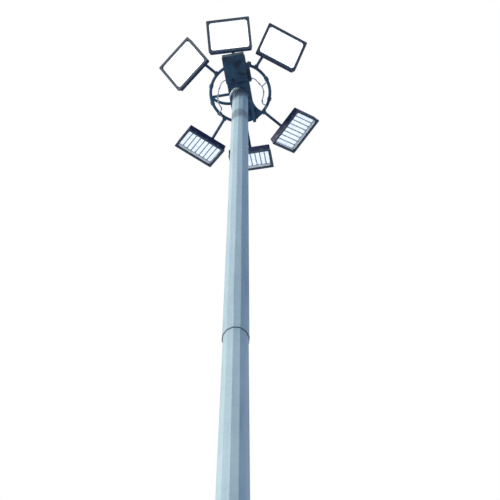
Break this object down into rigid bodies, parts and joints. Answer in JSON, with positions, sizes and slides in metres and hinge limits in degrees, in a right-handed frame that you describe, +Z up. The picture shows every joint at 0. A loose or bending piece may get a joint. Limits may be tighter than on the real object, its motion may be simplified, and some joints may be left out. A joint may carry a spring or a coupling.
{
  "type": "high mast floodlight tower",
  "caption": "Tapered twelve-sided steel mast in two slip-jointed sections, with a ring head that carries tilting LED floodlights on radial arms.",
  "frame": {"origin": "centre of the base plate's underside, where it rests on its foundation", "axes": "+Z up along the mast; -Y towards the front floodlight, which the head rails point at; +X to the right as seen from the front"},
  "size_m": [1.7401, 1.8694, 19.906],
  "materials": {
    "galvanised_steel": "matte",
    "head_paint": "satin",
    "box_paint": "satin",
    "conduit_steel": "matte",
    "lamp_casting": "satin",
    "bezel_paint": "satin",
    "lamp_glass": "gloss",
    "led_panel": "matte"
  },
  "bodies": {
    "tower": {"base_plate": "galvanised_steel", "base_gussets": "galvanised_steel", "mast_lower": "galvanised_steel", "door_frame": "galvanised_steel", "door": "galvanised_steel", "mast_upper": "galvanised_steel", "mast_cap": "galvanised_steel", "rail_left": "head_paint", "rail_right": "head_paint", "clamp_front": "head_paint", "clamp_rear": "head_paint", "rear_plate": "head_paint", "ring": "head_paint", "gear_box": "box_paint", "gear_box_lid": "box_paint", "side_box": "box_paint", "strut_left": "head_paint", "gusset_rear_right": "head_paint", "conduits": "conduit_steel", "conduit_hangers": "conduit_steel", "lamp_arms": "head_paint", "stirrups": "head_paint"},
    "front_lamp": {"front_housing": "lamp_casting", "front_bezel": "bezel_paint", "front_glass": "lamp_glass", "front_panel": "led_panel"},
    "front_right_lamp": {"front_right_housing": "lamp_casting", "front_right_bezel": "bezel_paint", "front_right_glass": "lamp_glass", "front_right_panel": "led_panel"},
    "rear_right_lamp": {"rear_right_housing": "lamp_casting", "rear_right_bezel": "bezel_paint", "rear_right_glass": "lamp_glass", "rear_right_panel": "led_panel"},
    "rear_lamp": {"rear_housing": "lamp_casting", "rear_bezel": "bezel_paint", "rear_glass": "lamp_glass", "rear_panel": "led_panel"},
    "rear_left_lamp": {"rear_left_housing": "lamp_casting", "rear_left_bezel": "bezel_paint", "rear_left_glass": "lamp_glass", "rear_left_panel": "led_panel"},
    "front_left_lamp": {"front_left_housing": "lamp_casting", "front_left_bezel": "bezel_paint", "front_left_glass": "lamp_glass", "front_left_panel": "led_panel"}
  },
  "joints": [
    {"name": "front_tilt", "type": "hinge", "parent": "tower", "child": "front_lamp", "pos_m": [0, -0.6985, 19.468], "axis": [-0.9986, -0.0523, 0], "range_deg": [-23.5, 41.5]},
    {"name": "front_right_tilt", "type": "hinge", "parent": "tower", "child": "front_right_lamp", "pos_m": [0.53627, -0.46635, 19.468], "axis": [-0.7869, -0.617, 0], "range_deg": [-22.5, 42.5]},
    {"name": "rear_right_tilt", "type": "hinge", "parent": "tower", "child": "rear_right_lamp", "pos_m": [0.52917, 0.4582, 19.468], "axis": [0.7193, -0.6947, 0], "range_deg": [-22, 43]},
    {"name": "rear_tilt", "type": "hinge", "parent": "tower", "child": "rear_lamp", "pos_m": [0, 0.6985, 19.468], "axis": [0.9998, 0.0175, 0], "range_deg": [-27, 38]},
    {"name": "rear_left_tilt", "type": "hinge", "parent": "tower", "child": "rear_left_lamp", "pos_m": [-0.5313, 0.46048, 19.468], "axis": [0.7396, 0.673, 0], "range_deg": [-21, 44]},
    {"name": "front_left_tilt", "type": "hinge", "parent": "tower", "child": "front_left_lamp", "pos_m": [-0.53638, -0.4665, 19.468], "axis": [-0.788, 0.6157, 0], "range_deg": [-23, 42]}
  ]
}
